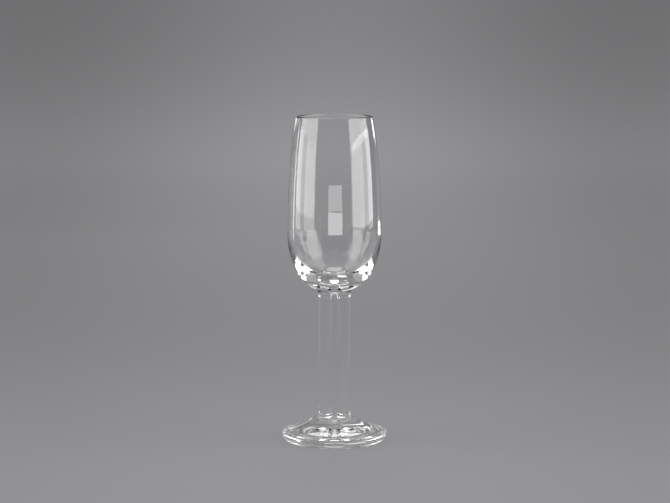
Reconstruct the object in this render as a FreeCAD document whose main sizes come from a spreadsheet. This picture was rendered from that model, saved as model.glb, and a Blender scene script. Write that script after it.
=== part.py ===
import FreeCAD, Part
import math
import os
import Sketcher
from FreeCAD import Vector

# Stemmed glass for sherry. A blown bowl stands on four drawn rods, and the rods stand on the
# crown of a thick pressed foot. Millimetres, +Z up, front towards -Y. The origin is the
# middle of the ground ring that the glass stands on.

doc = FreeCAD.newDocument("SherryGlass")


# ---------------------------------------------------------------- driving dimensions

SIZES = [
    ("bowl_height", 95.8, "lowest point of the bowl's underside to the rim"),
    ("rim_diameter", 41.4, "outside of the mouth"),
    ("belly_diameter", 50.4, "widest outside diameter of the bowl"),
    ("belly_rise", 33.5, "bowl's lowest point to its widest level"),
    ("belly_fullness", 1.135, "side radius against that of an ellipse of the same axes"),
    ("rim_wall", 1.3, "wall at the mouth, closed by a half-round lip"),
    ("belly_wall", 1.5, "wall at the widest level"),
    ("base_thickness", 7.0, "glass under the cup's floor, on the axis"),
    ("stem_length", 65.7, "foot's crown to the bowl's lowest point, on the axis"),
    ("rod_diameter", 7.0, "each of the four stem rods"),
    ("rod_gap", 3.3, "clear space between neighbouring rods"),
    ("weld_radius", 0.4, "hollow of the weld round each rod's end"),
    ("crown_height", 13.5, "top of the foot's crown above the table"),
    ("crown_dome_radius", 60.0, "roundness of the crown that the rods stand on"),
    ("crown_margin", 0.7, "crown beyond the rods' outer sides"),
    ("shoulder_radius", 1.6, "roundness where the crown turns down into the slope"),
    ("slope_radius", 30.0, "hollow sweep of the slope from the crown to the edge"),
    ("foot_diameter", 56.4, "outside of the foot"),
    ("edge_corner", 1.2, "roundness of the foot's upper edge"),
    ("edge_level", 4.5, "height of the foot's widest level above the table"),
    ("edge_undercut", 2.6, "widest level beyond the ground ring"),
    ("ground_ring_width", 2.5, "flat ring that touches the table"),
    ("hollow_depth", 3.0, "hollow under the foot, on the axis"),
]

# ---------------------------------------------------------------- sizes that follow from them

DERIVED = [
    # Stem: four rods on the corners of a square.
    ("rod_offset", "(rod_diameter + rod_gap) / 2"),
    ("rod_circle", "rod_offset * sqrt(2)"),
    ("rod_reach", "rod_circle + rod_diameter / 2"),
    ("weld_fillet", "min(weld_radius; 0.4 * rod_gap; 0.8 * crown_margin)"),
    # Bowl, outside: bottom dome, side and upper arcs, each tangent to the next.
    ("bowl_base_z", "crown_height + stem_length"),
    ("lip_z", "bowl_base_z + bowl_height - rim_wall / 2"),
    ("belly_z", "bowl_base_z + belly_rise"),
    ("belly_reach", "belly_diameter / 2"),
    ("rim_reach", "rim_diameter / 2"),
    ("side_radius", "belly_fullness * belly_rise ^ 2 / belly_reach"),
    ("dome_radius", "(belly_reach ^ 2 + belly_rise ^ 2 - 2 * side_radius * belly_reach)"
                    " / (2 * (belly_rise - side_radius))"),
    ("dome_centre_z", "bowl_base_z + dome_radius"),
    ("dome_share", "dome_radius / (side_radius - dome_radius)"),
    ("dome_join_reach", "(side_radius - belly_reach) * dome_share"),
    ("dome_join_z", "dome_centre_z + (dome_centre_z - belly_z) * dome_share"),
    ("upper_radius", "((belly_reach - rim_reach) ^ 2 + (lip_z - belly_z) ^ 2)"
                     " / (2 * (belly_reach - rim_reach))"),
    # Bowl, inside: the same three arcs, nearly elliptical at the bottom.
    ("floor_z", "bowl_base_z + base_thickness"),
    ("cup_reach", "belly_reach - belly_wall"),
    ("cup_rise", "belly_z - floor_z"),
    ("cup_side_radius", "cup_rise ^ 2 / cup_reach"),
    ("cup_dome_radius", "cup_reach * (cup_reach + cup_rise) / (2 * cup_rise)"),
    ("cup_centre_z", "floor_z + cup_dome_radius"),
    ("cup_share", "cup_dome_radius / (cup_side_radius - cup_dome_radius)"),
    ("cup_join_reach", "(cup_side_radius - cup_reach) * cup_share"),
    ("cup_join_z", "cup_centre_z + (cup_centre_z - belly_z) * cup_share"),
    ("mouth_reach", "rim_reach - rim_wall"),
    ("cup_upper_radius", "((cup_reach - mouth_reach) ^ 2 + (lip_z - belly_z) ^ 2)"
                         " / (2 * (cup_reach - mouth_reach))"),
    # Foot: crown, shoulder, hollow slope, corner, undercut edge, ground ring, hollow. The
    # slope's arc touches the shoulder's and the corner's from outside.
    ("crown_reach", "rod_reach + crown_margin"),
    ("crown_join_z", "crown_height - crown_dome_radius"
                     " + sqrt(crown_dome_radius ^ 2 - crown_reach ^ 2)"),
    ("shoulder_reach", "crown_reach * (1 - shoulder_radius / crown_dome_radius)"),
    ("shoulder_z", "crown_join_z - shoulder_radius"
                   " * sqrt(1 - (crown_reach / crown_dome_radius) ^ 2)"),
    ("foot_reach", "foot_diameter / 2"),
    ("corner_reach", "foot_reach - edge_corner"),
    ("slope_run", "corner_reach - shoulder_reach"),
    ("slope_drop", "shoulder_z - edge_level"),
    ("slope_length", "sqrt(slope_run ^ 2 + slope_drop ^ 2)"),
    ("to_shoulder", "slope_radius + shoulder_radius"),
    ("to_corner", "slope_radius + edge_corner"),
    ("slope_along", "(to_shoulder ^ 2 - to_corner ^ 2 + slope_length ^ 2) / (2 * slope_length)"),
    ("slope_off", "sqrt(to_shoulder ^ 2 - slope_along ^ 2)"),
    ("slope_centre_reach", "shoulder_reach"
                           " + (slope_along * slope_run + slope_off * slope_drop) / slope_length"),
    ("slope_centre_z", "shoulder_z"
                       " + (slope_off * slope_run - slope_along * slope_drop) / slope_length"),
    ("slope_top_reach", "shoulder_reach"
                        " + (slope_centre_reach - shoulder_reach) * shoulder_radius / to_shoulder"),
    ("slope_top_z", "shoulder_z + (slope_centre_z - shoulder_z) * shoulder_radius / to_shoulder"),
    ("slope_end_reach", "corner_reach"
                        " + (slope_centre_reach - corner_reach) * edge_corner / to_corner"),
    ("slope_end_z", "edge_level + (slope_centre_z - edge_level) * edge_corner / to_corner"),
    ("undercut_radius", "(edge_undercut ^ 2 + edge_level ^ 2) / (2 * edge_undercut)"),
    ("ring_outer", "foot_reach - edge_undercut"),
    ("ring_inner", "ring_outer - ground_ring_width"),
    ("hollow_radius", "(ring_inner ^ 2 + hollow_depth ^ 2) / (2 * hollow_depth)"),
    # Rod blanks: each end lies inside the glass that it is welded to.
    ("blank_foot_z", "(crown_height + hollow_depth) / 2"),
    ("blank_top_z", "dome_centre_z - sqrt(dome_radius ^ 2 - rod_reach ^ 2) + base_thickness / 3"),
    ("blank_length", "blank_top_z - blank_foot_z"),
]

sheet = doc.addObject("Spreadsheet::Sheet", "Sizes")
for row, (alias, value, note) in enumerate(SIZES, start=1):
    sheet.set(f"A{row}", alias)
    sheet.set(f"B{row}", str(value))
    sheet.set(f"C{row}", note)
    sheet.setAlias(f"B{row}", alias)
for row, (alias, formula) in enumerate(DERIVED, start=len(SIZES) + 2):
    sheet.set(f"A{row}", alias)
    sheet.setAlias(f"B{row}", alias)
    sheet.set(f"B{row}", f"={formula}")
doc.recompute()


def size(alias):
    """The value of one cell of the sheet."""
    return float(sheet.get(alias))


# ---------------------------------------------------------------- turned bodies

class Outline:
    """A closed half outline in a body's XZ plane: every corner is held by its own two
    coordinates, every arc by its radius, and all of them by cells of the sheet."""

    def __init__(self, body, name):
        self.sketch = body.newObject("Sketcher::SketchObject", name)
        planes = {plane.Role: plane for plane in body.Origin.OriginFeatures}
        self.sketch.AttachmentSupport = [(planes["XZ_Plane"], "")]
        self.sketch.MapMode = "FlatFace"
        self.corners = []
        self.edges = []

    def start(self, across, up):
        """The first corner. A coordinate is a cell's alias, or None on an axis."""
        self.corners.append((across, up))

    def point(self, corner):
        across, up = corner
        x = size(across) if across else 0.0
        y = size(up) if up else 0.0
        return Vector(x, y, 0)

    def hold(self, kind, *parts, alias):
        """Adds one measured constraint and binds it to a cell."""
        number = self.sketch.addConstraint(Sketcher.Constraint(kind, *parts, size(alias)))
        self.sketch.renameConstraint(number, f"{alias}_{number}")
        self.sketch.setExpression(f"Constraints.{alias}_{number}", f"Sizes.{alias}")

    def line(self, across, up):
        """A straight edge from the last corner to the next."""
        first = self.point(self.corners[-1])
        last = self.point((across, up))
        number = self.sketch.addGeometry(Part.LineSegment(first, last))
        self.edges.append((number, 1, 2))
        self.corners.append((across, up))

    def bow(self, across, up, centre):
        """An arc under half a turn about a centre, without its radius held yet."""
        first = self.point(self.corners[-1])
        last = self.point((across, up))
        from_angle = math.atan2(first.y - centre.y, first.x - centre.x)
        to_angle = math.atan2(last.y - centre.y, last.x - centre.x)
        turn = (to_angle - from_angle) % (2 * math.pi)
        circle = Part.Circle(centre, Vector(0, 0, 1), first.distanceToPoint(centre))
        if turn <= math.pi + 1e-6:
            arc = Part.ArcOfCircle(circle, from_angle, from_angle + turn)
            ends = (1, 2)
        else:
            arc = Part.ArcOfCircle(circle, to_angle, to_angle + 2 * math.pi - turn)
            ends = (2, 1)
        number = self.sketch.addGeometry(arc)
        self.edges.append((number, *ends))
        self.corners.append((across, up))
        return number

    def arc(self, across, up, radius, side):
        """An arc of a named radius. Its centre is left (+1) or right (-1) of the way on."""
        first = self.point(self.corners[-1])
        last = self.point((across, up))
        way = last - first
        rise = math.sqrt(size(radius) ** 2 - (way.Length / 2) ** 2)
        normal = Vector(-way.y, way.x, 0) / way.Length
        number = self.bow(across, up, (first + last) / 2 + normal * rise * side)
        self.hold("Radius", number, alias=radius)

    def half_round(self, across, up):
        """A half circle between two corners of one height, which its centre shares."""
        centre = (self.point(self.corners[-1]) + self.point((across, up))) / 2
        number = self.bow(across, up, centre)
        self.hold("DistanceY", -1, 1, number, 3, alias=up)

    def close(self):
        """Joins the edges in their order and holds each corner by its coordinates."""
        for (one, _, end), (other, begin, _) in zip(self.edges, self.edges[1:] + self.edges[:1]):
            self.sketch.addConstraint(Sketcher.Constraint("Coincident", one, end, other, begin))
        for (number, begin, _), (across, up) in zip(self.edges, self.corners):
            if across:
                self.hold("DistanceX", -1, 1, number, begin, alias=across)
            else:
                self.sketch.addConstraint(Sketcher.Constraint("PointOnObject", number, begin, -2))
            if up:
                self.hold("DistanceY", -1, 1, number, begin, alias=up)
            else:
                self.sketch.addConstraint(Sketcher.Constraint("PointOnObject", number, begin, -1))
        return self.sketch


def turned(body, outline):
    """A full revolution of a closed outline about the Z axis."""
    turn = body.newObject("PartDesign::Revolution", f"{body.Name}_turn")
    turn.Profile = outline.close()
    turn.ReferenceAxis = (turn.Profile[0], ["V_Axis"])
    turn.Angle = 360
    body.Tip = turn


# Bowl: up the outside, over the lip and down the inside to the floor.
bowl = doc.addObject("PartDesign::Body", "bowl")
bowl.Label = "bowl"
outline = Outline(bowl, "bowl_outline")
outline.start(None, "bowl_base_z")
outline.arc("dome_join_reach", "dome_join_z", "dome_radius", 1)
outline.arc("belly_reach", "belly_z", "side_radius", 1)
outline.arc("rim_reach", "lip_z", "upper_radius", 1)
outline.half_round("mouth_reach", "lip_z")
outline.arc("cup_reach", "belly_z", "cup_upper_radius", -1)
outline.arc("cup_join_reach", "cup_join_z", "cup_side_radius", -1)
outline.arc(None, "floor_z", "cup_dome_radius", -1)
outline.line(None, "bowl_base_z")
turned(bowl, outline)

# Foot: under the hollow, along the ground ring, up the undercut edge, over its corner and up
# the slope to the crown.
foot = doc.addObject("PartDesign::Body", "foot")
foot.Label = "foot"
outline = Outline(foot, "foot_outline")
outline.start(None, "hollow_depth")
outline.arc("ring_inner", None, "hollow_radius", -1)
outline.line("ring_outer", None)
outline.arc("foot_reach", "edge_level", "undercut_radius", 1)
outline.arc("slope_end_reach", "slope_end_z", "edge_corner", 1)
outline.arc("slope_top_reach", "slope_top_z", "slope_radius", -1)
outline.arc("crown_reach", "crown_join_z", "shoulder_radius", 1)
outline.arc(None, "crown_height", "crown_dome_radius", 1)
outline.line(None, "hollow_depth")
turned(foot, outline)
doc.recompute()


# ---------------------------------------------------------------- stem

def weld_edges(shape, rod):
    """The numbers of the edges in which a rod's side meets the bowl and the foot."""
    sides = []
    for face in shape.Faces:
        surface = face.Surface
        if isinstance(surface, Part.Cylinder) and abs(surface.Radius - rod) < 1e-6:
            sides.extend(face.Edges)
    welds = []
    for number, edge in enumerate(shape.Edges, start=1):
        if any(edge.isSame(side) for side in sides) and not isinstance(edge.Curve, Part.Line):
            welds.append(number)
    return welds


def stem_rod(name, x_sign, y_sign):
    """One rod: a cylinder welded to bowl and foot with a hollow fillet, then parted from both
    along their own faces, so that its ends fit them exactly."""
    blank = doc.addObject("Part::Cylinder", f"{name}_blank")
    blank.setExpression("Radius", "Sizes.rod_diameter / 2")
    blank.setExpression("Height", "Sizes.blank_length")
    blank.setExpression("Placement.Base.x", f"{x_sign} * Sizes.rod_offset")
    blank.setExpression("Placement.Base.y", f"{y_sign} * Sizes.rod_offset")
    blank.setExpression("Placement.Base.z", "Sizes.blank_foot_z")
    joined = doc.addObject("Part::MultiFuse", f"{name}_joined")
    joined.Shapes = [bowl, foot, blank]
    doc.recompute()
    welded = doc.addObject("Part::Fillet", f"{name}_welded")
    welded.Base = joined
    fillet = size("weld_fillet")
    edges = weld_edges(joined.Shape, size("rod_diameter") / 2)
    welded.Edges = [(number, fillet, fillet) for number in edges]
    off_bowl = doc.addObject("Part::Cut", f"{name}_off_bowl")
    off_bowl.Base = welded
    off_bowl.Tool = bowl
    rod = doc.addObject("Part::Cut", name)
    rod.Base = off_bowl
    rod.Tool = foot
    rod.Label = name
    return rod


rods = []
for depth, y_sign in (("front", -1), ("back", 1)):
    for side, x_sign in (("left", -1), ("right", 1)):
        rods.append(stem_rod(f"stem_rod_{depth}_{side}", x_sign, y_sign))
doc.recompute()


# ---------------------------------------------------------------- checks and files

for item in doc.Objects:
    if "Invalid" in item.State or "Error" in item.State:
        raise RuntimeError(f"{item.Name} did not build: {item.State}")

os.makedirs("parts", exist_ok=True)
for node in [bowl, foot] + rods:
    shape = node.Shape
    if shape.isNull() or not shape.isValid() or len(shape.Solids) != 1:
        raise RuntimeError(f"{node.Label} is not one valid solid")
for node in [bowl, foot] + rods:
    node.Shape.exportStep(f"parts/{node.Label}.step")
    box = node.Shape.BoundBox
    print(f"{node.Label}: {node.Shape.Volume:.0f} mm3, z {box.ZMin:.2f} to {box.ZMax:.2f}")
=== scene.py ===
import math

import bmesh
import bpy
import numpy as np
from bpy.props import FloatProperty, FloatVectorProperty, PointerProperty
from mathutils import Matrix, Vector


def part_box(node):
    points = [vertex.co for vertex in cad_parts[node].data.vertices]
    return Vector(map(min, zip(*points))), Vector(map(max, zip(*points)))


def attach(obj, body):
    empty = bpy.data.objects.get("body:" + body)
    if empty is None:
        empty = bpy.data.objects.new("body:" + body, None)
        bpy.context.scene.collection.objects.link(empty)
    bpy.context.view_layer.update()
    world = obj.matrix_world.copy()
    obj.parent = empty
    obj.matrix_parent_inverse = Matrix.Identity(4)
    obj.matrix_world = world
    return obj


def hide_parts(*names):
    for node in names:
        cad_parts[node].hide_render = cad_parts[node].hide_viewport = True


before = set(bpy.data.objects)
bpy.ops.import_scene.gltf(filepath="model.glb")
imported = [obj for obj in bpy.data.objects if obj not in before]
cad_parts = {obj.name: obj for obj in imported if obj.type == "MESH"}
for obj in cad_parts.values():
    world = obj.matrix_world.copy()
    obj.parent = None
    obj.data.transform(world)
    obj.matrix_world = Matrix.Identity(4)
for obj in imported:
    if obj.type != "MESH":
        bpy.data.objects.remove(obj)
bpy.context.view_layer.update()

bl_info = {
    "name": "Sherry glass",
    "version": (1, 0, 0),
    "blender": (4, 5, 0),
    "location": "3D View > Sidebar > Glass",
    "description": "Surfaces, clear glass and studio for a sherry glass on four rods",
    "category": "Object",
}

BOWL_LOW, BOWL_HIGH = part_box("bowl")
FOOT_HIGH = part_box("foot")[1]

# The stem rods: node name and the quarter of the square that each one stands in.
RODS = (
    ("stem_rod_back_right", 0),
    ("stem_rod_back_left", 1),
    ("stem_rod_front_left", 2),
    ("stem_rod_front_right", 3),
)
QUARTER = math.pi / 2

# Mesh density: steps along each stretch of the outlines.
CURVE_STEPS = 72
LIP_STEPS = 14
CROWN_STEPS = 30
SHOULDER_STEPS = 24
CORNER_STEPS = 16
EDGE_STEPS = 24
HOLLOW_STEPS = 39
COVE_STEPS = 24

# Mesh density: steps round each quarter and its two sides, out over a patch, out over a disc,
# up a rod's flare and up its shaft, and columns round the backdrop.
ARC_STEPS = 48
SIDE_STEPS = 24
RING_STEPS = 22
DISC_STEPS = 8
WELD_STEPS = 26
SHAFT_STEPS = 24
STAGE_COLUMNS = 128

# A patch's rings stand at shares of the way out raised to this power, closer near the weld.
PATCH_CROWDING = 1.3
# Least distance in metres from a patch's border to the next ring of the turned surface.
SEAM_MARGIN = 1e-4
# Points closer together than this in metres are merged.
MERGE_DISTANCE = 2e-7
# Height in metres above the table under which the foot's surface is its ground ring.
RING_TOUCH = 0.00005
# The floor lies this far in metres under the ground ring, so that the two don't coincide.
STAGE_DROP = 0.00002

# How many times lower the surface waves of drawn and pressed glass are than the blown wall's.
DRAWN_CALM = 3
PRESSED_CALM = 2

# The painted pool of light on floor and backdrop, painted into their seen colour: lengths in
# metres, losses and gains as shares of the tone. It is painted shade to both sides and up the
# backdrop, painted light round a line in front of the glass and towards the back, and paler again
# beyond a field that widens towards the back.
POOL_WIDTH = 0.272
POOL_SIDE_LOSS = 0.366
POOL_HEIGHT = 0.114
POOL_RISE_POWER = 1.5
POOL_TOP_LOSS = 0.398
NEAR_LINE = -0.15
NEAR_REACH = 0.375
NEAR_GAIN = 0.56
BACK_GAIN = 0.48
FIELD_WIDTH = 0.28
FIELD_SPREAD = 0.16
FIELD_HEIGHT = 0.5
FIELD_POWER = 8.0
FIELD_GAIN = 0.7

WHITE = (1, 1, 1, 1)
BLACK = (0, 0, 0, 1)
FULL_TONE = (0.99, 0.99, 1.02, 1)
PAPER = (0.3, 0.3, 0.309, 1)


# ---------------------------------------------------------------- settings

class GlassShape(bpy.types.PropertyGroup):
    """Sizes of the glass that its box doesn't give, in metres."""

    belly_level: FloatProperty(
        name="Belly level", description="Height of the bowl's widest level above its lowest point",
        default=0.0336, unit="LENGTH")
    rim_radius: FloatProperty(
        name="Rim radius", description="Outside radius of the mouth",
        default=0.02067, unit="LENGTH")
    rim_lean: FloatProperty(
        name="Rim lean", description="Inward lean of the wall at the mouth",
        default=math.radians(10.9), subtype="ANGLE")
    base_flatness: FloatProperty(
        name="Base flatness",
        description="Reach of the bottom's level run, as a share of the radius",
        default=0.451, subtype="FACTOR", min=0, max=1)
    side_flatness: FloatProperty(
        name="Side flatness",
        description="Reach of the side's upright run, as a share of its rise",
        default=0.72, subtype="FACTOR", min=0, max=1)
    belly_ease: FloatProperty(
        name="Belly ease", description="How far the upper curve's handle draws in at the belly",
        default=0.00025, unit="LENGTH")
    rim_wall: FloatProperty(
        name="Rim wall", description="Wall at the mouth", default=0.0013, unit="LENGTH")
    belly_wall: FloatProperty(
        name="Belly wall", description="Wall at the widest level", default=0.0015, unit="LENGTH")
    base_thickness: FloatProperty(
        name="Base thickness", description="Glass under the cup's floor, on the axis",
        default=0.007, unit="LENGTH")
    rod_radius: FloatProperty(
        name="Rod radius", description="Radius of each stem rod", default=0.0035, unit="LENGTH")
    rod_gap: FloatProperty(
        name="Rod gap", description="Clear space between neighbouring rods",
        default=0.0033, unit="LENGTH")
    weld: FloatProperty(
        name="Weld", description="Reach of the flare round each rod's end",
        default=0.00028, unit="LENGTH")
    weld_rise: FloatProperty(
        name="Weld rise", description="Height of the flare at each rod's end",
        default=0.0032, unit="LENGTH")
    patch_radius: FloatProperty(
        name="Weld patch", description="Part of bowl and foot whose mesh follows the rods",
        default=0.015, unit="LENGTH")
    crown_radius: FloatProperty(
        name="Crown radius", description="Roundness of the foot's crown",
        default=0.06, unit="LENGTH")
    crown_reach: FloatProperty(
        name="Crown reach", description="Radius at which the crown turns down",
        default=0.01148, unit="LENGTH")
    shoulder_radius: FloatProperty(
        name="Shoulder radius", description="Roundness where the crown turns into the slope",
        default=0.0016, unit="LENGTH")
    slope_radius: FloatProperty(
        name="Slope radius", description="Hollow sweep of the slope from the crown to the edge",
        default=0.03, unit="LENGTH")
    edge_corner: FloatProperty(
        name="Edge corner", description="Roundness of the foot's upper edge",
        default=0.0012, unit="LENGTH")
    edge_level: FloatProperty(
        name="Edge level", description="Height of the foot's widest level above the table",
        default=0.0045, unit="LENGTH")
    undercut: FloatProperty(
        name="Undercut", description="Widest level beyond the ground ring",
        default=0.0026, unit="LENGTH")
    ring_width: FloatProperty(
        name="Ground ring", description="Width of the flat ring that touches the table",
        default=0.0025, unit="LENGTH")
    hollow_depth: FloatProperty(
        name="Hollow depth", description="Hollow under the foot, on the axis",
        default=0.003, unit="LENGTH")


class GlassFinish(bpy.types.PropertyGroup):
    """Looks of the clear glass."""

    colour: FloatVectorProperty(
        name="Colour", description="Colour that the glass gives to light passing through",
        default=(1.0, 1.0, 1.0), subtype="COLOR", size=3, min=0, max=1)
    refraction: FloatProperty(
        name="Refraction", description="Index of refraction of the glass", default=1.5)
    polish: FloatProperty(
        name="Polish", description="Roughness of the fire-polished surface",
        default=0.012, subtype="FACTOR", min=0, max=1)
    ring_roughness: FloatProperty(
        name="Ring roughness", description="Roughness of the ground ring under the foot",
        default=0.38, subtype="FACTOR", min=0, max=1)
    waviness: FloatProperty(
        name="Waviness", description="Height of the slow waves in the blown wall",
        default=0.00003, unit="LENGTH")
    wave_scale: FloatProperty(
        name="Wave scale", description="Waves of the blown wall in a metre", default=45.0)
    drift_scale: FloatProperty(
        name="Drift scale", description="Changes of the polish in a metre", default=90.0)
    grain: FloatProperty(
        name="Grain", description="Roughness that the grain adds to the ground ring",
        default=0.2, subtype="FACTOR", min=0, max=1)
    grain_scale: FloatProperty(
        name="Grain scale", description="Grains of the ground ring in a metre", default=2600.0)


class StudioSettings(bpy.types.PropertyGroup):
    """Floor, backdrop, lamps and camera."""

    tone: FloatProperty(
        name="Backdrop tone", description="Grey of the floor and backdrop beside the glass",
        default=0.1853, subtype="FACTOR", min=0, max=1)
    # Share of the seen backdrop that is emission carrying the painted pool of light and shade.
    painted_glow: FloatProperty(
        name="Backdrop glow", description="Share of the seen backdrop that is its even tone",
        default=0.8, subtype="FACTOR", min=0, max=1)
    air_light: FloatProperty(
        name="Air light", description="Brightness of the air all round", default=0.5)
    floor_reach: FloatProperty(
        name="Floor reach", description="Radius of the flat floor", default=1.8, unit="LENGTH")
    cove_radius: FloatProperty(
        name="Cove radius", description="Radius of the cove from the floor to the backdrop",
        default=0.5, unit="LENGTH")
    wall_height: FloatProperty(
        name="Backdrop height", description="Height of the backdrop", default=2.2, unit="LENGTH")
    lamp_radiance: FloatProperty(
        name="Lamp radiance", description="Brightness of the large soft lamps", default=3.1)
    camera_aside: FloatProperty(
        name="Camera aside", description="Distance of the camera to the right of the glass",
        default=0.0003, unit="LENGTH")
    camera_distance: FloatProperty(
        name="Camera distance", description="Distance of the camera along the floor",
        default=1.3521, unit="LENGTH")
    camera_height: FloatProperty(
        name="Camera height", description="Height of the camera above the floor",
        default=0.2506, unit="LENGTH")
    camera_tilt: FloatProperty(
        name="Camera tilt", description="Downward tilt of the camera",
        default=math.radians(6.256), subtype="ANGLE")
    lens: FloatProperty(
        name="Lens", description="Focal length on a 36 mm sensor, in millimetres", default=136.31)


# ---------------------------------------------------------------- shader maths

class Number:
    """A number socket: arithmetic on it adds Math nodes to its tree."""

    def __init__(self, graph, socket):
        self.graph = graph
        self.socket = socket

    def math(self, operation, first, second=0.0):
        node = self.graph.node("ShaderNodeMath", {"operation": operation}, {0: first, 1: second})
        return Number(self.graph, node.outputs[0])

    def __add__(self, other):
        return self.math("ADD", self, other)

    __radd__ = __add__

    def __sub__(self, other):
        return self.math("SUBTRACT", self, other)

    def __rsub__(self, other):
        return self.math("SUBTRACT", other, self)

    def __mul__(self, other):
        return self.math("MULTIPLY", self, other)

    __rmul__ = __mul__

    def __truediv__(self, other):
        return self.math("DIVIDE", self, other)

    def __neg__(self):
        return self.math("MULTIPLY", self, -1.0)

    def __pow__(self, other):
        return self.math("POWER", self, other)

    def exp(self):
        return self.math("EXPONENT", self)

    def bell(self, power=2.0):
        """exp(-self ^ power), which is 1 at 0 and falls towards 0 beyond 1."""
        return (-self ** power).exp()

    def above(self, level):
        return self.math("GREATER_THAN", self, level)

    def larger(self, other):
        return self.math("MAXIMUM", self, other)


class Graph:
    """The node tree of one material or world."""

    def __init__(self, owner):
        owner.use_nodes = True
        self.tree = owner.node_tree
        self.tree.nodes.clear()

    def node(self, kind, settings=None, inputs=None):
        """A node of a type, its settings first, then the values or links of its sockets."""
        node = self.tree.nodes.new(kind)
        for name, value in (settings or {}).items():
            setattr(node, name, value)
        for name, value in (inputs or {}).items():
            if isinstance(value, Number):
                value = value.socket
            if isinstance(value, bpy.types.NodeSocket):
                self.tree.links.new(value, node.inputs[name])
            else:
                node.inputs[name].default_value = value
        return node

    def number(self, socket):
        return Number(self, socket)

    def place(self):
        """The Object coordinates, and their X, Y and Z as numbers."""
        coordinates = self.node("ShaderNodeTexCoord").outputs["Object"]
        parts = self.node("ShaderNodeSeparateXYZ", inputs={0: coordinates})
        return coordinates, [self.number(socket) for socket in parts.outputs]


# ---------------------------------------------------------------- glass finishes

def fire_polished(name, waviness, ring=None):
    """Clear glass. Slow waves of the blown or pressed surface feed the bump, and a faint drift
    of the polish feeds the roughness. ring = (inner, outer) radius of a ground ring at the
    bottom, where the polish is cut away."""
    finish = bpy.context.scene.glass_finish
    material = bpy.data.materials.new(name)
    graph = Graph(material)
    coordinates, (x, y, z) = graph.place()
    waves = graph.node("ShaderNodeTexNoise", inputs={
        "Vector": coordinates, "Scale": finish.wave_scale, "Detail": 1.0, "Roughness": 0.4})
    bump = graph.node("ShaderNodeBump", inputs={
        "Strength": 1.0, "Distance": waviness, "Height": waves.outputs["Fac"]})
    drift = graph.node("ShaderNodeTexNoise", inputs={
        "Vector": coordinates, "Scale": finish.drift_scale, "Detail": 2.0})
    roughness = graph.number(drift.outputs["Fac"]) * finish.polish
    if ring:
        inner, outer = ring
        reach = (x * x + y * y) ** 0.5
        on_ring = reach.above(inner) * (1.0 - reach.above(outer)) * (1.0 - z.above(RING_TOUCH))
        grain = graph.node("ShaderNodeTexNoise", inputs={
            "Vector": coordinates, "Scale": finish.grain_scale, "Detail": 2.0})
        ground = graph.number(grain.outputs["Fac"]) * finish.grain + finish.ring_roughness
        roughness = roughness + on_ring * ground
    surface = graph.node("ShaderNodeBsdfPrincipled", inputs={
        "Base Color": (*finish.colour, 1.0), "Roughness": roughness, "IOR": finish.refraction,
        "Transmission Weight": 1.0, "Normal": bump.outputs["Normal"]})
    graph.node("ShaderNodeOutputMaterial", inputs={"Surface": surface.outputs[0]})
    return material


def fused():
    """The face between two welded pieces, which no longer exists to the eye: light passes
    through it as through one body of glass."""
    material = bpy.data.materials.get("fused_face")
    if material is None:
        material = bpy.data.materials.new("fused_face")
        graph = Graph(material)
        passing = graph.node("ShaderNodeBsdfTransparent", inputs={"Color": WHITE})
        graph.node("ShaderNodeOutputMaterial", inputs={"Surface": passing.outputs[0]})
    return material


# ---------------------------------------------------------------- surfaces

class Surface:
    """Grids of points gathered into one mesh."""

    def __init__(self):
        self.points = []
        self.faces = []
        self.materials = []
        self.count = 0

    def add(self, x, y, z, material=0):
        """A grid whose rows are closed rings: each face joins two neighbours of one row to the
        same two of the next."""
        x, y, z = np.broadcast_arrays(x, y, z)
        rows, columns = x.shape
        row = np.arange(rows - 1)[:, None] * columns + self.count
        column = np.arange(columns)[None, :]
        after = (column + 1) % columns
        corners = (row + column, row + after, row + columns + after, row + columns + column)
        faces = np.stack(corners, -1).reshape(-1, 4)
        self.points.append(np.stack((x, y, z), -1).reshape(-1, 3))
        self.faces.append(faces)
        self.materials.append(np.full(len(faces), material, np.int32))
        self.count += rows * columns

    def turn(self, outline, directions):
        """The surface of revolution of an outline: x = r cos a, y = r sin a, z = z."""
        radius = outline[:, :1]
        height = outline[:, 1:]
        self.add(radius * np.cos(directions), radius * np.sin(directions), height)

    def make(self, name, materials, closed=True):
        """The piece: doubles merged, which closes poles and seams, and shaded smooth. The faces of
    a closed one are made to point outwards."""
        mesh = bpy.data.meshes.new(name)
        mesh.from_pydata(np.concatenate(self.points), [], np.concatenate(self.faces))
        mesh.polygons.foreach_set("material_index", np.concatenate(self.materials))
        edit = bmesh.new()
        edit.from_mesh(mesh)
        bmesh.ops.remove_doubles(edit, verts=edit.verts, dist=MERGE_DISTANCE)
        if closed:
            if not all(edge.is_manifold for edge in edit.edges):
                raise RuntimeError(f"{name} isn't a closed surface")
            bmesh.ops.recalc_face_normals(edit, faces=edit.faces)
        edit.to_mesh(mesh)
        edit.free()
        mesh.polygons.foreach_set("use_smooth", np.ones(len(mesh.polygons), bool))
        for material in materials:
            mesh.materials.append(material)
        piece = bpy.data.objects.new(name, mesh)
        bpy.context.scene.collection.objects.link(piece)
        return piece


def crease_welds(mesh):
    """Marks as sharp every edge at which a mesh's two materials meet, so that the shading of
    a rod's flare doesn't fold back over its end face."""
    edge_of_corner = np.empty(len(mesh.loops), np.int32)
    mesh.loops.foreach_get("edge_index", edge_of_corner)
    corners = np.empty(len(mesh.polygons), np.int32)
    mesh.polygons.foreach_get("loop_total", corners)
    material = np.empty(len(mesh.polygons), np.int32)
    mesh.polygons.foreach_get("material_index", material)
    material_of_corner = np.repeat(material, corners)
    lowest = np.full(len(mesh.edges), len(mesh.materials), np.int32)
    highest = np.full(len(mesh.edges), -1, np.int32)
    np.minimum.at(lowest, edge_of_corner, material_of_corner)
    np.maximum.at(highest, edge_of_corner, material_of_corner)
    mesh.edges.foreach_set("use_edge_sharp", lowest != highest)
    mesh.update()


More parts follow.
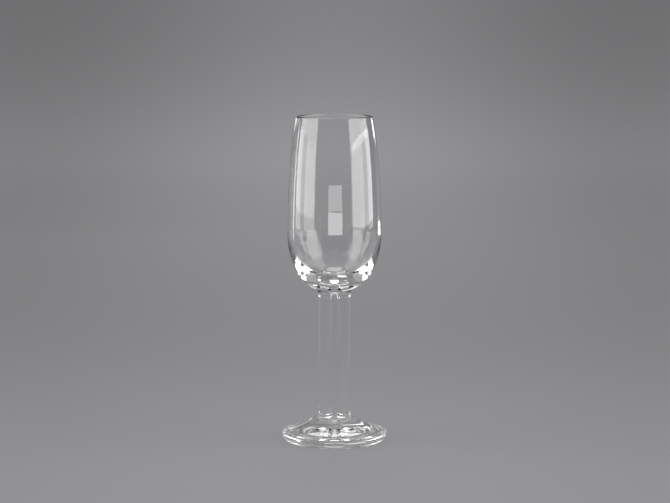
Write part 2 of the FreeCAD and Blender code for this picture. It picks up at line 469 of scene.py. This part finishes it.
def bezier(poles):
    """Points of a cubic curve: each pole weighted by its Bernstein polynomial of t."""
    t = np.linspace(0, 1, CURVE_STEPS + 1)[:, None]
    a, b, c, d = np.array(poles, float)
    return (1 - t) ** 3 * a + 3 * (1 - t) ** 2 * t * b + 3 * (1 - t) * t ** 2 * c + t ** 3 * d


def arc(centre, radius, first, last, steps):
    """Points of a circular arc between two angles, counted from +X."""
    angle = np.linspace(first, last, steps + 1)
    return np.stack((centre[0] + radius * np.cos(angle), centre[1] + radius * np.sin(angle)), -1)


def height_on(outline):
    """A function that gives the height of an outline, which starts on the axis, at points."""
    return lambda x, y: np.interp(np.hypot(x, y), outline[:, 0], outline[:, 1])


def tulip(low, belly_radius, belly_z, mouth_radius, mouth_z):
    """Outline of the bowl from the axis up to the mouth: a bottom curve and an upper curve
    that share their tangent and their curvature at the belly. A cubic curve's end curvature is
    two thirds of its second pole's offset over the handle squared, which gives the upper
    handle from the lower one."""
    shape = bpy.context.scene.glass_shape
    base_handle = shape.base_flatness * belly_radius
    side_handle = shape.side_flatness * (belly_z - low)
    ease = shape.belly_ease
    upper_handle = side_handle * math.sqrt(ease / (belly_radius - base_handle))
    drawn_in = belly_radius - ease
    rim_drop = (drawn_in - mouth_radius) / math.tan(shape.rim_lean)
    bottom = bezier(((0, low), (base_handle, low), (belly_radius, belly_z - side_handle),
                     (belly_radius, belly_z)))
    upper = bezier(((belly_radius, belly_z), (belly_radius, belly_z + upper_handle),
                    (drawn_in, mouth_z - rim_drop), (mouth_radius, mouth_z)))
    return np.concatenate((bottom, upper[1:]))


def bowl_outlines():
    """Outlines of the bowl's outside and of its cup, each from the axis to the mouth."""
    shape = bpy.context.scene.glass_shape
    belly_radius = BOWL_HIGH.x
    belly_z = BOWL_LOW.z + shape.belly_level
    lip_z = BOWL_HIGH.z - shape.rim_wall / 2
    outside = tulip(BOWL_LOW.z, belly_radius, belly_z, shape.rim_radius, lip_z)
    inside = tulip(BOWL_LOW.z + shape.base_thickness, belly_radius - shape.belly_wall, belly_z,
                   shape.rim_radius - shape.rim_wall, lip_z)
    return outside, inside


def foot_top():
    """Outline of the foot's upper side from the axis outwards: a nearly flat crown, a shoulder,
    a hollow slope and the edge's corner down to the widest level, each tangent to the next.
    The centre of the slope lies one slope radius beyond the shoulder's and the corner's arcs."""
    shape = bpy.context.scene.glass_shape
    crown_centre = (0.0, FOOT_HIGH.z - shape.crown_radius)
    turn = math.asin(shape.crown_reach / shape.crown_radius)
    inward = shape.crown_radius - shape.shoulder_radius
    shoulder = np.array((inward * math.sin(turn), crown_centre[1] + inward * math.cos(turn)))
    corner = np.array((FOOT_HIGH.x - shape.edge_corner, shape.edge_level))
    way = corner - shoulder
    length = np.hypot(*way)
    to_shoulder = shape.slope_radius + shape.shoulder_radius
    to_corner = shape.slope_radius + shape.edge_corner
    along = (to_shoulder ** 2 - to_corner ** 2 + length ** 2) / (2 * length)
    off = math.sqrt(to_shoulder ** 2 - along ** 2)
    centre = shoulder + (along * way + off * np.array((-way[1], way[0]))) / length
    upper = math.atan2(*(centre - shoulder)[::-1])
    lower = math.atan2(*(centre - corner)[::-1])
    crown = arc(crown_centre, shape.crown_radius, math.pi / 2, math.pi / 2 - turn, CROWN_STEPS)
    rounding = arc(shoulder, shape.shoulder_radius, math.pi / 2 - turn, upper, SHOULDER_STEPS)
    slope = arc(centre, shape.slope_radius, upper - math.pi, lower - math.pi, CURVE_STEPS)
    edge = arc(corner, shape.edge_corner, lower, 0, CORNER_STEPS)
    return np.concatenate((crown, rounding[1:], slope[1:], edge[1:]))


def foot_under():
    """Outline of the foot's under side from the widest level inwards: the undercut edge's arc,
    the ground ring and the hollow, z = depth (1 - (r / ring)^2)."""
    shape = bpy.context.scene.glass_shape
    radius = (shape.undercut ** 2 + shape.edge_level ** 2) / (2 * shape.undercut)
    sweep = math.asin(shape.edge_level / radius)
    edge = arc((FOOT_HIGH.x - radius, shape.edge_level), radius, 0, -sweep, EDGE_STEPS)[1:]
    ring_inner = FOOT_HIGH.x - shape.undercut - shape.ring_width
    reach = np.linspace(ring_inner, 0, HOLLOW_STEPS + 1)
    hollow = np.stack((reach, shape.hollow_depth * (1 - (reach / ring_inner) ** 2)), -1)
    return np.concatenate((edge, hollow))


# ---------------------------------------------------------------- welds and rods

class RodPlan:
    """Where a rod stands, and the directions from its centre in which its rings, the rings
    round its weld and the quarter of the patch that belongs to it have their points. Bowl, foot
    and rods all use it, so their seams meet point for point."""

    def __init__(self, quarter):
        shape = bpy.context.scene.glass_shape
        self.turn = QUARTER * (quarter + 0.5)
        self.offset = (shape.rod_radius + shape.rod_gap / 2) * math.sqrt(2)
        half = QUARTER / 2
        around = np.linspace(-half, half, ARC_STEPS + 1)
        outer = np.stack((np.cos(around), np.sin(around)), -1) * shape.patch_radius
        inward = np.linspace(1, 0, SIDE_STEPS + 1)[1:, None] * outer[-1]
        outward = inward[::-1][1:] * (1, -1)
        self.border = np.concatenate((outer, inward, outward))
        self.angles = np.arctan2(self.border[:, 1], self.border[:, 0] - self.offset)

    def placed(self, x, y):
        """Turns points from the rod's own quarter about +X to where the rod stands."""
        return (x * math.cos(self.turn) - y * math.sin(self.turn),
                x * math.sin(self.turn) + y * math.cos(self.turn))

    def ring(self, radius):
        """Rings of the given radii about the rod's centre."""
        radius = np.asarray(radius)[:, None]
        return self.placed(self.offset + radius * np.cos(self.angles),
                           radius * np.sin(self.angles))

    def patch(self, radius):
        """Rings that pass from the weld's circle to the border of the quarter: each point
        moves in a straight line, and the rings lie closer near the weld."""
        share = np.linspace(0, 1, RING_STEPS + 1)[:, None] ** PATCH_CROWDING
        x = self.offset + radius * np.cos(self.angles)
        y = radius * np.sin(self.angles)
        return self.placed(x + share * (self.border[:, 0] - x),
                           y + share * (self.border[:, 1] - y))

    def disc(self, radius):
        """Rings that fill the weld's circle."""
        return self.ring(np.linspace(0, radius, DISC_STEPS + 1))


def azimuths():
    """Directions of a turned surface's points, the same as those of the four quarters."""
    around = np.linspace(-QUARTER / 2, QUARTER / 2, ARC_STEPS + 1)[:-1]
    return np.concatenate([QUARTER * (quarter + 0.5) + around for _, quarter in RODS])


def weld_circle():
    """Radius of a rod's weld: the rod's and the reach of the flare."""
    shape = bpy.context.scene.glass_shape
    return shape.rod_radius + shape.weld


def beyond_patch(outline, height):
    """The part of an outline that is turned: from a point on the patch's border outwards."""
    border = bpy.context.scene.glass_shape.patch_radius
    seam = np.array(((border, height(border, 0)),))
    return np.concatenate((seam, outline[outline[:, 0] > border + SEAM_MARGIN]))


def turned_body(outline, height):
    """The surface of bowl or foot: the outline turned, and in its middle, for each rod, a patch
    of glass round the weld's circle and the fused face inside it, both at the given height."""
    surface = Surface()
    surface.turn(outline, azimuths())
    for _, quarter in RODS:
        plan = RodPlan(quarter)
        x, y = plan.patch(weld_circle())
        surface.add(x, y, height(x, y))
        x, y = plan.disc(weld_circle())
        surface.add(x, y, height(x, y), material=1)
    return surface


def rod_surface(plan, under, over):
    """One rod: rings of radius rod + weld s^2 at the height of the foot or bowl there, drawn
    back by rise (1 - s), make the slight flare as s runs from 0 to 1; between the flares the
    rings keep the rod's radius; a disc closes each end."""
    shape = bpy.context.scene.glass_shape
    share = np.linspace(0, 1, WELD_STEPS + 1)
    radius = shape.rod_radius + shape.weld * share ** 2
    back = shape.weld_rise * (1 - share)[:, None]
    x_over, y_over = plan.ring(radius)
    z_over = over(x_over, y_over) - back
    x_under, y_under = plan.ring(radius[::-1])
    z_under = under(x_under, y_under) + back[::-1]
    share = np.linspace(0, 1, SHAFT_STEPS + 1)[1:-1, None]
    share = share * share * (3 - 2 * share)
    x_shaft, y_shaft = plan.ring(np.full(SHAFT_STEPS - 1, shape.rod_radius))
    z_shaft = z_under[-1] + share * (z_over[0] - z_under[-1])
    surface = Surface()
    surface.add(np.concatenate((x_under, x_shaft, x_over)),
                np.concatenate((y_under, y_shaft, y_over)),
                np.concatenate((z_under, z_shaft, z_over)))
    x, y = plan.disc(weld_circle())
    surface.add(x, y, under(x, y), material=1)
    surface.add(x, y, over(x, y), material=1)
    return surface


def stand_for(piece, node):
    """The piece takes the place of a CAD node and rides on the glass."""
    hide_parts(node)
    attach(piece, "root")


# ---------------------------------------------------------------- pieces

class GLASS_OT_bowl(bpy.types.Operator):
    """Make the blown bowl: tulip outside, half-round lip, cup with a thick rounded base"""

    bl_idname = "glass.bowl"
    bl_label = "Bowl"

    def execute(self, context):
        shape = context.scene.glass_shape
        outside, inside = bowl_outlines()
        over = height_on(outside)
        middle = (shape.rim_radius - shape.rim_wall / 2, BOWL_HIGH.z - shape.rim_wall / 2)
        lip = arc(middle, shape.rim_wall / 2, 0, math.pi, LIP_STEPS)[1:-1]
        outline = np.concatenate((beyond_patch(outside, over), lip, inside[::-1]))
        glass = fire_polished("blown_glass", context.scene.glass_finish.waviness)
        piece = turned_body(outline, over).make("bowl_surface", (glass, fused()))
        stand_for(piece, "bowl")
        return {"FINISHED"}


class GLASS_OT_stem(bpy.types.Operator):
    """Make the four drawn rods of the stem, slightly flared at their welds"""

    bl_idname = "glass.stem"
    bl_label = "Stem rods"

    def execute(self, context):
        outside, _ = bowl_outlines()
        over = height_on(outside)
        under = height_on(foot_top())
        waviness = context.scene.glass_finish.waviness / DRAWN_CALM
        glass = fire_polished("drawn_glass", waviness)
        for node, quarter in RODS:
            surface = rod_surface(RodPlan(quarter), under, over)
            piece = surface.make(f"{node}_surface", (glass, fused()))
            crease_welds(piece.data)
            stand_for(piece, node)
        return {"FINISHED"}


class GLASS_OT_foot(bpy.types.Operator):
    """Make the pressed foot: crown, hollow slope, undercut edge, ground ring and hollow"""

    bl_idname = "glass.foot"
    bl_label = "Foot"

    def execute(self, context):
        shape = context.scene.glass_shape
        top = foot_top()
        height = height_on(top)
        outline = np.concatenate((beyond_patch(top, height), foot_under()))
        waviness = context.scene.glass_finish.waviness / PRESSED_CALM
        ring_outer = FOOT_HIGH.x - shape.undercut
        ring = (ring_outer - shape.ring_width, ring_outer)
        glass = fire_polished("pressed_glass", waviness, ring)
        piece = turned_body(outline, height).make("foot_surface", (glass, fused()))
        stand_for(piece, "foot")
        return {"FINISHED"}


# ---------------------------------------------------------------- studio

def backdrop_painted_pool():
    """Grey paper with a painted pool of light. What is seen of it, straight or through and in
    glass, is emission of its tone with a soft pool of light painted in: painted shade to both
    sides and up the backdrop, and painted light, paler again far out. The rest of its light is
    plain reflection, which keeps the shadow under the glass."""
    studio = bpy.context.scene.studio
    material = bpy.data.materials.new("backdrop_painted_pool")
    graph = Graph(material)
    _, (x, y, z) = graph.place()
    # Painted light and shade of the pool, worked out from the place on floor and backdrop.
    aside = 1.0 - (x / POOL_WIDTH).bell()
    raised = 1.0 - (z.larger(0.0) / POOL_HEIGHT).bell(POOL_RISE_POWER)
    near = ((y - NEAR_LINE) / NEAR_REACH).bell()
    depth = 1.0 + NEAR_GAIN * near + BACK_GAIN * y.larger(0.0)
    wide = x / (FIELD_WIDTH + FIELD_SPREAD * y.larger(0.0))
    out = wide ** FIELD_POWER + (z / FIELD_HEIGHT) ** FIELD_POWER
    beyond = 1.0 - (-out).exp()
    pool = (1.0 - POOL_SIDE_LOSS * aside) * (1.0 - POOL_TOP_LOSS * raised)
    pool = pool * (1.0 + FIELD_GAIN * beyond)
    # The tone times the painted pool: painted light and shade that seen rays get as emission.
    tone = graph.node("ShaderNodeMix", {"data_type": "RGBA"}, {
        "Factor": studio.tone * depth * pool, "A": BLACK, "B": FULL_TONE})
    light = graph.node("ShaderNodeEmission", inputs={
        "Color": tone.outputs["Result"], "Strength": 1.0})
    paper = graph.node("ShaderNodeBsdfDiffuse", inputs={"Color": PAPER})
    path = graph.node("ShaderNodeLightPath")
    seen = graph.number(path.outputs["Is Camera Ray"])
    seen = seen.larger(graph.number(path.outputs["Is Glossy Ray"]))
    seen = seen.larger(graph.number(path.outputs["Is Transmission Ray"]))
    # Seen rays get the painted pool's emission in this share; the rest is the paper's plain
    # diffuse reflection.
    mixed = graph.node("ShaderNodeMixShader", inputs={
        0: seen * studio.painted_glow, 1: paper.outputs[0], 2: light.outputs[0]})
    graph.node("ShaderNodeOutputMaterial", inputs={"Surface": mixed.outputs[0]})
    return material


# The studio's lamps. Each stands at an azimuth, in degrees from the camera's side and positive
# to the right, at a distance, with its middle at a height, and is wide by tall, all in metres.
# Its radiance is a share of the large lamps'. It leans to face the glass at the height aim, or
# stands upright where aim is None. The glass shows a "mirrored" lamp only as a reflection, a
# "through" lamp only by refraction, and a lamp for "both" in both ways. A lamp level with the
# glass is only mirrored, and brighter to make up for it, so that it doesn't fill the bowl with
# white from the opposite side: what the thick base gathers comes from narrower lamps beside it.
# name, azimuth, distance, height, wide, tall, share, aim, shown
LAMPS = (
    ("lamp_left", -80.5, 0.9, 0.1875, 1.06, 0.225, 1.35, None, "mirrored"),
    ("lamp_left_high", -80.5, 0.9, 0.78, 1.06, 1.04, 1.0, None, "both"),
    ("lamp_left_low", -80.5, 0.9, 0.045, 1.06, 0.06, 0.5, None, "mirrored"),
    ("lamp_left_back", -105, 0.9, 0.15, 0.28, 0.22, 1.0, None, "through"),
    ("lamp_left_fore", -67, 0.9, 0.15, 0.5, 0.22, 1.0, None, "through"),
    ("lamp_right", 75.5, 0.9, 0.175, 1.15, 0.25, 1.3, None, "mirrored"),
    ("lamp_right_high", 75.5, 0.9, 0.78, 1.15, 1.04, 1.0, None, "both"),
    ("lamp_right_back", 105, 0.9, 0.15, 0.28, 0.22, 1.0, None, "through"),
    ("lamp_right_fore", 65, 0.9, 0.15, 0.56, 0.22, 1.0, None, "through"),
    ("lamp_above", 180, 0.9, 1.1, 0.48, 0.8, 1.2, 0.1, "both"),
    ("lamp_behind", 196, 1.2, 0.185, 0.42, 0.07, 0.5, None, "both"),
    ("card_front", 2, 1.25, 0.1315, 0.76, 0.087, 1.4, None, "mirrored"),
    ("card_low", 2, 1.25, 0.043, 0.76, 0.082, 2.35, None, "mirrored"),
    ("edge_high", 148, 1.2, 0.185, 0.13, 0.07, 0.9, None, "both"),
    ("edge_low", 146, 1.0, 0.0155, 0.21, 0.029, 1.3, None, "both"),
)


def soft_lamp(name, azimuth, distance, height, wide, tall, share, aim, shown):
    """A rectangular lamp that faces the glass. It gives light and reflections, and the camera
    doesn't see it. Its energy is its radiance times pi times its area."""
    azimuth = math.radians(azimuth)
    middle = Vector((distance * math.sin(azimuth), -distance * math.cos(azimuth), height))
    data = bpy.data.lights.new(name, "AREA")
    data.shape = "RECTANGLE"
    data.size = wide
    data.size_y = tall
    data.energy = bpy.context.scene.studio.lamp_radiance * share * math.pi * wide * tall
    lamp = bpy.data.objects.new(name, data)
    lamp.location = middle
    facing = Vector((0, 0, height if aim is None else aim)) - middle
    lamp.rotation_euler = facing.to_track_quat("-Z", "Y").to_euler()
    lamp.visible_camera = False
    lamp.visible_transmission = shown != "mirrored"
    lamp.visible_glossy = shown != "through"
    bpy.context.scene.collection.objects.link(lamp)


class GLASS_OT_studio(bpy.types.Operator):
    """Set up the floor, backdrop, lamps and camera"""

    bl_idname = "glass.studio"
    bl_label = "Studio"

    def execute(self, context):
        scene = context.scene
        studio = scene.studio
        cove = arc((studio.floor_reach, studio.cove_radius), studio.cove_radius,
                   -math.pi / 2, 0, COVE_STEPS)
        wall_reach = studio.floor_reach + studio.cove_radius
        outline = np.concatenate((((0, 0),), cove, ((wall_reach, studio.wall_height),)))
        surface = Surface()
        around = np.linspace(0, 2 * math.pi, STAGE_COLUMNS + 1)[:-1]
        surface.turn(outline - (0, STAGE_DROP), around)
        stage = surface.make("backdrop", (backdrop_painted_pool(),), closed=False)

        for lamp in LAMPS:
            soft_lamp(*lamp)
        world = bpy.data.worlds.new("studio_air")
        graph = Graph(world)
        air = graph.node("ShaderNodeBackground", inputs={
            "Color": WHITE, "Strength": studio.air_light})
        graph.node("ShaderNodeOutputWorld", inputs={"Surface": air.outputs[0]})
        scene.world = world

        data = bpy.data.cameras.new("camera")
        data.sensor_fit = "HORIZONTAL"
        data.sensor_width = 36
        data.lens = studio.lens
        camera = bpy.data.objects.new("camera", data)
        camera.location = (studio.camera_aside, -studio.camera_distance, studio.camera_height)
        camera.rotation_euler = (math.pi / 2 - studio.camera_tilt, 0, 0)
        scene.collection.objects.link(camera)
        scene.camera = camera

        scene.view_settings.view_transform = "Standard"
        scene.cycles.max_bounces = 32
        scene.cycles.transmission_bounces = 32
        scene.cycles.glossy_bounces = 16
        scene.cycles.transparent_max_bounces = 64
        scene.cycles.use_denoising = True
        return {"FINISHED"}


class GLASS_PT_panel(bpy.types.Panel):
    """Lists the pieces of the glass and the studio"""

    bl_idname = "GLASS_PT_panel"
    bl_label = "Sherry glass"
    bl_space_type = "VIEW_3D"
    bl_region_type = "UI"
    bl_category = "Glass"

    def draw(self, context):
        for settings in (context.scene.glass_shape, context.scene.glass_finish,
                         context.scene.studio):
            box = self.layout.box()
            for name in settings.bl_rna.properties.keys():
                if name not in {"name", "rna_type"}:
                    box.prop(settings, name)
        for operator in PIECES:
            self.layout.operator(operator.bl_idname)


PIECES = (GLASS_OT_bowl, GLASS_OT_stem, GLASS_OT_foot, GLASS_OT_studio)
SETTINGS = (GlassShape, GlassFinish, StudioSettings)


def register():
    for item in SETTINGS + PIECES + (GLASS_PT_panel,):
        bpy.utils.register_class(item)
    bpy.types.Scene.glass_shape = PointerProperty(type=GlassShape)
    bpy.types.Scene.glass_finish = PointerProperty(type=GlassFinish)
    bpy.types.Scene.studio = PointerProperty(type=StudioSettings)


def unregister():
    del bpy.types.Scene.studio
    del bpy.types.Scene.glass_finish
    del bpy.types.Scene.glass_shape
    for item in reversed(SETTINGS + PIECES + (GLASS_PT_panel,)):
        bpy.utils.unregister_class(item)


def main():
    register()
    bpy.ops.glass.bowl()
    bpy.ops.glass.stem()
    bpy.ops.glass.foot()
    bpy.ops.glass.studio()


if __name__ == "__main__":
    main()
